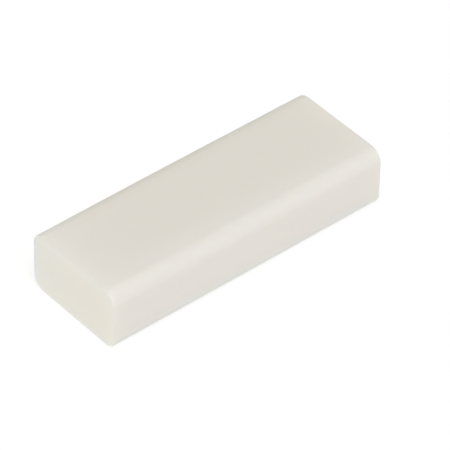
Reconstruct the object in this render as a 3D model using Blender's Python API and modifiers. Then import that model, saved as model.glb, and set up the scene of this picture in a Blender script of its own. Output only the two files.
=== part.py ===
"""Gymnastics chalk block: one solid moulded bar with no other piece to it.

The block lies on a wide face. The origin is the centre of that face, +X runs along the length,
-Y is the front and +Z points up. The four long edges are broad rounds. The edges round the two
square-cut ends are only slightly rounded.
"""

from math import radians

import bpy

# Driving dimensions, in metres
LENGTH = 0.053
WIDTH = 0.020
HEIGHT = 0.011
LONG_EDGE_RADIUS = 0.0024
END_EDGE_RADIUS = 0.0003

# Facets in a quarter turn of each round
LONG_EDGE_SEGMENTS = 12
END_EDGE_SEGMENTS = 4

# Only the corners at the ends are sharper than this once the long edges are round
SHARP_CORNER = radians(60)

CHALK_COLOUR = (0.765, 0.73, 0.67, 1.0)
CHALK_ROUGHNESS = 0.5


def clear_scene():
    """Remove every object, so that the file holds only the block."""
    for old in list(bpy.data.objects):
        bpy.data.objects.remove(old, do_unlink=True)


def chalk_material():
    """Warm white chalk with a dull, slightly waxy surface."""
    material = bpy.data.materials.new("chalk")
    material.use_nodes = True
    shader = material.node_tree.nodes["Principled BSDF"]
    shader.inputs["Base Color"].default_value = CHALK_COLOUR
    shader.inputs["Roughness"].default_value = CHALK_ROUGHNESS
    shader.inputs["Metallic"].default_value = 0.0
    return material


def add_square_bar():
    """Add the square-edged bar that the rounds are cut on, resting on Z = 0."""
    bpy.ops.mesh.primitive_cube_add(size=1.0, location=(0.0, 0.0, HEIGHT / 2))
    bar = bpy.context.object
    bar.scale = (LENGTH, WIDTH, HEIGHT)
    bpy.ops.object.transform_apply(location=True, rotation=False, scale=True)
    return bar


def mark_long_edges(mesh):
    """Give the four edges that run the whole length a bevel weight of 1, and the others 0."""
    weights = mesh.attributes.new("bevel_weight_edge", "FLOAT", "EDGE")
    for edge in mesh.edges:
        start, end = (mesh.vertices[i].co for i in edge.vertices)
        runs_lengthwise = abs(end.x - start.x) > LENGTH / 2
        weights.data[edge.index].value = 1.0 if runs_lengthwise else 0.0


def add_round(block, name, width, segments):
    """Add a bevel modifier of circular section to the block."""
    bevel = block.modifiers.new(name, "BEVEL")
    bevel.width = width
    bevel.segments = segments
    bevel.profile = 0.5
    return bevel


def make_block():
    """Build the block: a square bar, its four long rounds, and then its two broken ends."""
    block = add_square_bar()
    block.name = "chalk_block"
    block.data.name = "chalk_block"
    mark_long_edges(block.data)

    long_rounds = add_round(block, "long_rounds", LONG_EDGE_RADIUS, LONG_EDGE_SEGMENTS)
    long_rounds.limit_method = "WEIGHT"

    end_rounds = add_round(block, "end_rounds", END_EDGE_RADIUS, END_EDGE_SEGMENTS)
    end_rounds.limit_method = "ANGLE"
    end_rounds.angle_limit = SHARP_CORNER

    block.data.shade_smooth()
    block.data.materials.append(chalk_material())
    return block


def move_to_collection(item, name):
    """Put the object in a collection of its own and in no other."""
    collection = bpy.data.collections.new(name)
    bpy.context.scene.collection.children.link(collection)
    for holder in list(item.users_collection):
        holder.objects.unlink(item)
    collection.objects.link(item)


clear_scene()
move_to_collection(make_block(), "chalk_block")
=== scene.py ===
"""Looks of the gymnastics chalk block: its fine surface, its waxy chalk and a plain studio."""

import math

import bmesh
import bpy
from mathutils import Matrix, Vector, noise


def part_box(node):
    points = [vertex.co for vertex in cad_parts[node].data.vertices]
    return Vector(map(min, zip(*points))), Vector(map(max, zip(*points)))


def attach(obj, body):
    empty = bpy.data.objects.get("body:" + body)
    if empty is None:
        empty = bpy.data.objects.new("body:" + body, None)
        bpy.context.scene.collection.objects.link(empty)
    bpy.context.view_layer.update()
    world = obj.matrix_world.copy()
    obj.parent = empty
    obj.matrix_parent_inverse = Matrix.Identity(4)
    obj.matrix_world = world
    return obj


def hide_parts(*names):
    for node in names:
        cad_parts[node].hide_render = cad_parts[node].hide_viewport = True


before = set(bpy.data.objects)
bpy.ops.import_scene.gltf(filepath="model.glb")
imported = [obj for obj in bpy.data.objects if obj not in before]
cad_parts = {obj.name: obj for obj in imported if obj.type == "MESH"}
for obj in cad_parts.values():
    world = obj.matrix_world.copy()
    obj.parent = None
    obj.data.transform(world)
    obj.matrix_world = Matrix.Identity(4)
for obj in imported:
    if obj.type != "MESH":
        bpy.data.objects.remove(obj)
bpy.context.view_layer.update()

# Lengths are in metres, angles in degrees and lamps in watts. Colours are linear.

# The block. Its length, width and height are those of its CAD node
LONG_EDGE_RADIUS = 0.0024
END_EDGE_RADIUS = 0.0003
END_LEAN = 0.0001  # the ends are a little off square: their tops lean this far towards +X
FULLNESS = 0.00004  # the section is this much fuller at mid length than at the ends
UNEVENNESS = 0.000012
UNEVENNESS_SIZE = 0.007
EASE_SHARE = 0.25  # the moves grow to their full size over this share of the height or width

# How finely its surface is divided
LONG_EDGE_STEPS = 20
END_EDGE_STEPS = 8
WIDE_FACE_STEPS = 24
TALL_FACE_STEPS = 10
LENGTH_STEPS = 76
CAP_STEPS = 8
MERGE_DISTANCE = 0.000001

# The camera
CAMERA_AZIMUTH = -39.75
CAMERA_ELEVATION = 41.29
CAMERA_ROLL = 0.18
CAMERA_DISTANCE = 0.6113
CAMERA_VIEW_ANGLE = 6.5
BLOCK_LEFT_OF_MIDDLE = 0.002482
BLOCK_ABOVE_MIDDLE = 0.001166
NEAREST_SHOWN = 0.06
FARTHEST_SHOWN = 12.0

# The chalk's colours, with painted highlights and painted shade among them
BODY_COLOUR = (0.775, 0.741, 0.681)
BODY_SHADE = (0.765, 0.730, 0.667)
PAINTED_FRONT_EDGE_HIGHLIGHT = (0.778, 0.754, 0.703)  # painted highlight along the front edges
PAINTED_END_GLOW = (0.802, 0.777, 0.728)  # painted glow near the ends, for light scattered through the chalk
CUT_END_COLOUR = (0.788, 0.758, 0.676)
# a painted bluer rim on the cut end, for light scattered out near its edges
PAINTED_END_RIM_COLOUR = (0.766, 0.758, 0.721)
# painted shade, darker towards the underside
PAINTED_LOW_EDGE_SHADE = (0.926, 0.962, 0.984)
# painted shade along the back long edges
PAINTED_BACK_EDGE_SHADE = (0.937, 0.949, 0.928)
PAINTED_END_LINE_SHADE = (0.925, 0.925, 0.925)  # painted shade where an end meets the top or the underside
PAINTED_CORNER_SHADE = (0.942, 0.946, 0.980)  # painted shade where an end meets the front side
GRAIN_TINT = (0.985, 0.985, 0.985)

# How far they run in, and how strong they are where they are weaker
PALE_REACH_ON_WIDE_FACES = 0.008
PALE_REACH_FROM_ENDS = 0.0065
FAR_END_SHARE = 0.3  # of the painted glow near the -X end, near the +X end
FRONT_END_SHARE = 0.2  # of the painted glow near the ends, on the front side
END_FACE_REACH = 0.0003
RIM_REACH_FROM_BACK = 0.005
RIM_REACH_FROM_TOP = 0.0015
RIM_SHARE_AT_TOP = 0.6
LOW_EDGE_REACH = 0.005
BACK_EDGE_REACH = 0.0045
BACK_EDGE_FALL = 3.0  # how many times faster it fades down the back side
END_LINE_REACH = 0.0006
CORNER_REACH = 0.00045
ROUNDING_MIDDLE = 1 - math.sqrt(0.5)  # depth in the box halfway round a rounding, over its radius

# The chalk's texture and its wax
CLOUD_SIZE = 0.009
CLOUD_DETAIL = 3.0
GRAIN_SIZE = 0.00028
GRAIN_DETAIL = 2.0
GRAIN_HEIGHT = 0.000004
WEAR_SIZE = 0.00225
WEAR_DETAIL = 2.0
ROUGHNESS = 0.46
WORN_ROUGHNESS = 0.66
WAX_IOR = 1.45
WAX_WEIGHT = 0.3  # share of the light that travels through the chalk
WAX_DEPTH = 0.005
WAX_SPREAD = (1.0, 0.85, 0.6)  # how far red, green and blue travel, over the depth

# The studio
WHITE = (1.0, 1.0, 1.0)
FLOOR_SIZE = 6.0
FLOOR_GAP = 0.00002  # between the floor and the underside
FLOOR_COLOUR = (0.35, 0.35, 0.35)
FLOOR_ROUGHNESS = 0.9
FLOOR_GLOW = 0.68
FAR_GLOW = 1.0  # of the far floor and of the horizon, so that no line shows between them
FAR_GLOW_START = 0.4
FAR_GLOW_END = 1.5
WORLD_STRENGTH = 0.35
HORIZON_END = 0.05  # sine of the elevation where the brighter horizon has faded away
SOFTBOX_SIZE = 0.9
SOFTBOX_DISTANCE = 1.6
SOFTBOXES = (  # name, azimuth, elevation, watts, colour
    ("key", -30, 65, 13.7, WHITE),
    ("end_fill", -90, 18, 4.55, (1.0, 1.0, 0.98)),
    ("cool_side_fill", 60, 18, 5.0, (0.84, 0.84, 1.0)),
    ("warm_rear_fill", 120, 40, 2.2, (0.98, 1.0, 0.72)),
)


def direction(azimuth, elevation):
    a = math.radians(azimuth)
    e = math.radians(elevation)
    return Vector((math.sin(a) * math.cos(e), -math.cos(a) * math.cos(e), math.sin(e)))


def add_object(name, data):
    """A new object in the scene, made of a mesh, a camera or a light."""
    thing = bpy.data.objects.new(name, data)
    bpy.context.scene.collection.objects.link(thing)
    return thing


def add_camera(aim):
    """A long lens that looks down on the block's -X end and -Y side."""
    back = direction(CAMERA_AZIMUTH, CAMERA_ELEVATION)
    level = Vector((0, 0, 1)).cross(back).normalized()
    roll = Matrix.Rotation(math.radians(CAMERA_ROLL), 3, back)
    right = roll @ level
    up = roll @ back.cross(level)

    camera = add_object("camera", bpy.data.cameras.new("camera"))
    camera.data.angle = math.radians(CAMERA_VIEW_ANGLE)
    camera.data.clip_start = NEAREST_SHOWN
    camera.data.clip_end = FARTHEST_SHOWN
    place = aim + back * CAMERA_DISTANCE + right * BLOCK_LEFT_OF_MIDDLE - up * BLOCK_ABOVE_MIDDLE
    axes = Matrix((right, up, back)).transposed().to_4x4()
    camera.matrix_world = Matrix.Translation(place) @ axes
    bpy.context.scene.camera = camera


def section(half_width, half_height, radius):
    """A rounded section's outline, as (y, z) about its centre. Every section has as many points."""
    corners = ((1, 1), (-1, 1), (-1, -1), (1, -1))
    centres = [
        Vector((y * (half_width - radius), z * (half_height - radius))) for y, z in corners
    ]
    points = []
    for corner, centre in enumerate(centres):
        for step in range(LONG_EDGE_STEPS + 1):
            angle = (corner + step / LONG_EDGE_STEPS) * math.pi / 2
            points.append(centre + radius * Vector((math.cos(angle), math.sin(angle))))
        start = points[-1]
        end = start + centres[(corner + 1) % 4] - centre
        run_steps = WIDE_FACE_STEPS if corner % 2 == 0 else TALL_FACE_STEPS
        points += [start.lerp(end, step / run_steps) for step in range(1, run_steps)]
    return points


def stations(half_length):
    """(x, inset) of each section: a quarter turn at either end, and even steps between them."""
    turn = [step / END_EDGE_STEPS * math.pi / 2 for step in range(END_EDGE_STEPS + 1)]
    near = [
        (-half_length + END_EDGE_RADIUS * (1 - math.cos(a)), END_EDGE_RADIUS * (1 - math.sin(a)))
        for a in turn
    ]
    far = [(-x, inset) for x, inset in reversed(near)]
    start, end = near[-1][0], far[0][0]
    between = [(start + (end - start) * i / LENGTH_STEPS, 0.0) for i in range(1, LENGTH_STEPS)]
    return near + between + far


def cap_rings(ring, core_half_width, middle):
    """Smaller and smaller rings inside an end ring, down to the line where the end face closes."""
    rings = []
    for step in range(1, CAP_STEPS + 1):
        share = step / CAP_STEPS
        inner = []
        for point in ring:
            core_y = min(max(point.y, -core_half_width), core_half_width)
            inner.append(point.lerp(Vector((point.x, core_y, middle)), share))
        rings.append(inner)
    return rings


def block_rings(size, middle):
    """Every ring of the block's surface, from the middle of one end face to that of the other."""
    rings = []
    for x, inset in stations(size.x / 2):
        outline = section(size.y / 2 - inset, size.z / 2 - inset, LONG_EDGE_RADIUS - inset)
        rings.append([Vector((x, y, middle + z)) for y, z in outline])
    core_half_width = (size.y - size.z) / 2
    near_cap = cap_rings(rings[0], core_half_width, middle)
    far_cap = cap_rings(rings[-1], core_half_width, middle)
    return near_cap[::-1] + rings + far_cap


def settle(vertex, size, middle):
    """Where a vertex of the exact bar is on the real one: fuller at mid length, leaning, uneven."""
    point = vertex.co
    along = point.x / (size.x / 2)
    height_share = point.z / size.z
    width_share = abs(point.y) / size.y
    wave = noise.noise(point / UNEVENNESS_SIZE) * UNEVENNESS * min(1.0, height_share / EASE_SHARE)
    moved = point + vertex.normal * wave
    moved.y -= math.copysign(FULLNESS, point.y) * along**2 * min(1.0, width_share / EASE_SHARE)
    moved.z -= 2 * FULLNESS * along**2 * height_share
    moved.x += END_LEAN * (point.z - middle) / (size.z / 2)
    return moved


def add_block(low, high):
    """The block's fine surface, in the place and size of its CAD node."""
    size = high - low
    middle = (low.z + high.z) / 2
    shape = bmesh.new()
    rows = [[shape.verts.new(point) for point in ring] for ring in block_rings(size, middle)]
    for row, next_row in zip(rows, rows[1:]):
        for i in range(len(row)):
            shape.faces.new((row[i - 1], row[i], next_row[i], next_row[i - 1]))
    bmesh.ops.remove_doubles(shape, verts=shape.verts, dist=MERGE_DISTANCE)
    bmesh.ops.recalc_face_normals(shape, faces=shape.faces)
    shape.normal_update()
    places = [settle(vertex, size, middle) for vertex in shape.verts]
    for vertex, place in zip(shape.verts, places):
        vertex.co = place

    mesh = bpy.data.meshes.new("moulded_block")
    shape.to_mesh(mesh)
    shape.free()
    mesh.shade_smooth()
    return add_object("moulded_block", mesh)


def new_material(name):
    """A node material, its tree and its Principled shader."""
    material = bpy.data.materials.new(name)
    material.use_nodes = True
    tree = material.node_tree
    return material, tree, tree.nodes["Principled BSDF"]


def feed(tree, socket, source):
    """Give a socket another node's output, a colour or a number."""
    if isinstance(source, bpy.types.NodeSocket):
        tree.links.new(source, socket)
    elif isinstance(source, tuple):
        socket.default_value = (*source, 1.0)
    else:
        socket.default_value = source


def calculate(tree, operation, *sources):
    """The result of one sum on outputs or numbers."""
    node = tree.nodes.new("ShaderNodeMath")
    node.operation = operation
    for socket, source in zip(node.inputs, sources):
        feed(tree, socket, source)
    return node.outputs["Value"]


def blend(tree, share, first, second, kind="MIX"):
    """The second colour over the first, as far as the share says."""
    node = tree.nodes.new("ShaderNodeMix")
    node.data_type = "RGBA"
    node.blend_type = kind
    # a Mix node has a set of sockets for each kind of data, and these are the ones for colours
    feed(tree, node.inputs[0], share)
    feed(tree, node.inputs[6], first)
    feed(tree, node.inputs[7], second)
    return node.outputs[2]


def fade(tree, value, start, end, first=0.0, last=1.0):
    """A smooth change from first, where the value is start, to last, where it is end."""
    node = tree.nodes.new("ShaderNodeMapRange")
    node.interpolation_type = "SMOOTHSTEP"
    sockets = ("Value", "From Min", "From Max", "To Min", "To Max")
    for socket, source in zip(sockets, (value, start, end, first, last)):
        feed(tree, node.inputs[socket], source)
    return node.outputs["Result"]


def mottle(tree, place, size, detail):
    """Even noise from 0 to 1, in patches of a size in metres."""
    node = tree.nodes.new("ShaderNodeTexNoise")
    feed(tree, node.inputs["Vector"], place)
    feed(tree, node.inputs["Scale"], 1.0 / size)
    feed(tree, node.inputs["Detail"], detail)
    return node.outputs["Fac"]


def split(tree, vector):
    """A vector's three parts."""
    node = tree.nodes.new("ShaderNodeSeparateXYZ")
    feed(tree, node.inputs["Vector"], vector)
    return node.outputs["X"], node.outputs["Y"], node.outputs["Z"]


def depth(tree, offset, extent):
    """How far in from the nearer of two opposite sides, at an offset from midway between them."""
    return calculate(tree, "SUBTRACT", extent / 2, calculate(tree, "ABSOLUTE", offset))


def nearness(tree, distance, reach):
    """1 at no distance, falling off exponentially over a reach."""
    fall = calculate(tree, "MULTIPLY", calculate(tree, "MAXIMUM", distance, 0.0), -1.0 / reach)
    return calculate(tree, "EXPONENT", fall)


def chalk_parts(tree, place, low, high):
    """How much a point belongs to each differently coloured part of the chalk, from 0 to 1. Most
    parts are painted highlights or painted shade.
    """
    # from_end is from the nearer end, and from_top from the nearer of the top and the underside
    x, y, z = split(tree, place)
    from_end = depth(tree, x, high.x - low.x)
    from_top = depth(tree, calculate(tree, "SUBTRACT", z, (low.z + high.z) / 2), high.z - low.z)
    from_near_end = calculate(tree, "SUBTRACT", x, low.x)
    from_front = calculate(tree, "SUBTRACT", y, low.y)
    from_back = calculate(tree, "SUBTRACT", high.y, y)

    # an edge is where two sides are close, so the larger of the two distances counts
    along_top = calculate(tree, "MULTIPLY", from_front, LONG_EDGE_RADIUS / PALE_REACH_ON_WIDE_FACES)
    down_back = calculate(tree, "MULTIPLY", from_top, BACK_EDGE_FALL)
    by_front_edge = calculate(tree, "MAXIMUM", along_top, from_top)
    by_back_edge = calculate(tree, "MAXIMUM", from_back, down_back)
    by_end_line = calculate(tree, "MAXIMUM", from_end, from_top)
    by_corner = calculate(tree, "MAXIMUM", from_end, from_front)

    at_near_end = nearness(tree, from_near_end, PALE_REACH_FROM_ENDS)
    at_either_end = nearness(tree, from_end, PALE_REACH_FROM_ENDS)
    at_far_end = calculate(tree, "MULTIPLY", at_either_end, FAR_END_SHARE)
    at_end = calculate(tree, "MAXIMUM", at_near_end, at_far_end)
    share_of_side = fade(tree, from_front, 0.0, LONG_EDGE_RADIUS, FRONT_END_SHARE, 1.0)
    at_top = nearness(tree, from_top, RIM_REACH_FROM_TOP)
    top_rim = calculate(tree, "MULTIPLY", at_top, RIM_SHARE_AT_TOP)
    back_rim = nearness(tree, from_back, RIM_REACH_FROM_BACK)
    # Of these parts, the front edge and the ends get painted highlights, the rim a painted bluer
    # rim, and the back edge, low edge, end line and corner painted shade; the end face is the cut
    # end's own colour.
    return {
        "front_edge_highlight": fade(
            tree, by_front_edge, LONG_EDGE_RADIUS, LONG_EDGE_RADIUS * ROUNDING_MIDDLE
        ),
        "back_edge_shade": fade(tree, by_back_edge, BACK_EDGE_REACH, 0.0),
        "ends": calculate(tree, "MULTIPLY", at_end, share_of_side),
        "low_edge_shade": fade(tree, z, low.z + LOW_EDGE_REACH, low.z),
        "end_face": fade(tree, from_end, END_FACE_REACH, 0.0),
        "rim": calculate(tree, "MAXIMUM", top_rim, back_rim),
        "end_line_shade": fade(tree, by_end_line, END_LINE_REACH, 0.0),
        "corner": fade(tree, by_corner, CORNER_REACH, 0.0),
    }


def chalk_colour(tree, parts, clouds, grain):
    """Warm white, with the colours of the parts laid over it one by one: painted highlights along
    the front edges and near the ends, painted shade along the back and low edges, at the end lines
    and at the corner, and the cut end's own colour with a painted bluer rim.
    """
    colour = blend(tree, clouds, BODY_COLOUR, BODY_SHADE)
    cut_end = blend(tree, parts["rim"], CUT_END_COLOUR, PAINTED_END_RIM_COLOUR)
    for share, layer, kind in (
        (parts["front_edge_highlight"], PAINTED_FRONT_EDGE_HIGHLIGHT, "MIX"),
        (parts["back_edge_shade"], PAINTED_BACK_EDGE_SHADE, "MULTIPLY"),
        (parts["ends"], PAINTED_END_GLOW, "MIX"),
        (parts["low_edge_shade"], PAINTED_LOW_EDGE_SHADE, "MULTIPLY"),
        (parts["end_face"], cut_end, "MIX"),
        (parts["end_line_shade"], PAINTED_END_LINE_SHADE, "MULTIPLY"),
        (parts["corner"], PAINTED_CORNER_SHADE, "MULTIPLY"),
        (grain, GRAIN_TINT, "MULTIPLY"),
    ):
        colour = blend(tree, share, colour, layer, kind)
    return colour


def chalk_material(low, high):
    """Dense chalk, a little waxy and finely grained, and rougher in patches where its painted
    highlights are.
    """
    material, tree, shader = new_material("waxy_chalk")
    place = tree.nodes.new("ShaderNodeTexCoord").outputs["Object"]
    parts = chalk_parts(tree, place, low, high)
    clouds = mottle(tree, place, CLOUD_SIZE, CLOUD_DETAIL)
    grain = mottle(tree, place, GRAIN_SIZE, GRAIN_DETAIL)
    feed(tree, shader.inputs["Base Color"], chalk_colour(tree, parts, clouds, grain))

    # pale covers the painted highlights along the front edges and near the ends
    pale = calculate(tree, "MAXIMUM", parts["ends"], parts["front_edge_highlight"])
    wear = calculate(tree, "MULTIPLY", pale, mottle(tree, place, WEAR_SIZE, WEAR_DETAIL))
    roughness = fade(tree, wear, 0.0, 1.0, ROUGHNESS, WORN_ROUGHNESS)
    feed(tree, shader.inputs["Roughness"], roughness)

    bump = tree.nodes.new("ShaderNodeBump")
    feed(tree, bump.inputs["Height"], grain)
    feed(tree, bump.inputs["Distance"], GRAIN_HEIGHT)
    feed(tree, shader.inputs["Normal"], bump.outputs["Normal"])

    feed(tree, shader.inputs["IOR"], WAX_IOR)
    feed(tree, shader.inputs["Subsurface Weight"], WAX_WEIGHT)
    feed(tree, shader.inputs["Subsurface Scale"], WAX_DEPTH)
    shader.inputs["Subsurface Radius"].default_value = WAX_SPREAD
    return material


def add_floor(height):
    """A pale table that glows, so that the block's shadow stays faint and the distance is white."""
    bpy.ops.mesh.primitive_plane_add(size=FLOOR_SIZE, location=(0, 0, height))
    floor = bpy.context.object
    floor.name = "floor"
    material, tree, shader = new_material("white_light_table")
    from_middle = tree.nodes.new("ShaderNodeVectorMath")
    from_middle.operation = "LENGTH"
    feed(tree, from_middle.inputs[0], tree.nodes.new("ShaderNodeTexCoord").outputs["Object"])
    distance = from_middle.outputs["Value"]
    glow = fade(tree, distance, FAR_GLOW_START, FAR_GLOW_END, FLOOR_GLOW, FAR_GLOW)
    feed(tree, shader.inputs["Base Color"], FLOOR_COLOUR)
    feed(tree, shader.inputs["Roughness"], FLOOR_ROUGHNESS)
    feed(tree, shader.inputs["Emission Color"], WHITE)
    feed(tree, shader.inputs["Emission Strength"], glow)
    floor.data.materials.append(material)


def add_world():
    """White light from all round, brighter just over the floor's far edge."""
    world = bpy.data.worlds.new("studio")
    world.use_nodes = True
    tree = world.node_tree
    upward = split(tree, tree.nodes.new("ShaderNodeTexCoord").outputs["Generated"])[2]
    background = tree.nodes["Background"]
    strength = fade(tree, upward, 0.0, HORIZON_END, FAR_GLOW, WORLD_STRENGTH)
    feed(tree, background.inputs["Color"], WHITE)
    feed(tree, background.inputs["Strength"], strength)
    bpy.context.scene.world = world


def add_softbox(aim, name, azimuth, elevation, watts, colour):
    """A square soft light that faces the block."""
    light = bpy.data.lights.new(name, "AREA")
    light.size = SOFTBOX_SIZE
    light.energy = watts
    light.color = colour
    lamp = add_object(name, light)
    away = direction(azimuth, elevation)
    lamp.location = aim + away * SOFTBOX_DISTANCE
    lamp.rotation_euler = away.to_track_quat("Z", "Y").to_euler()


low, high = (Vector(corner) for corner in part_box("chalk_block"))
centre = (low + high) / 2
add_camera(centre)

block = add_block(low, high)
block.data.materials.append(chalk_material(low, high))
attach(block, "root")
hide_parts("chalk_block")

add_floor(low.z - FLOOR_GAP)
add_world()
for softbox in SOFTBOXES:
    add_softbox(centre, *softbox)
bpy.context.scene.view_settings.view_transform = "Standard"
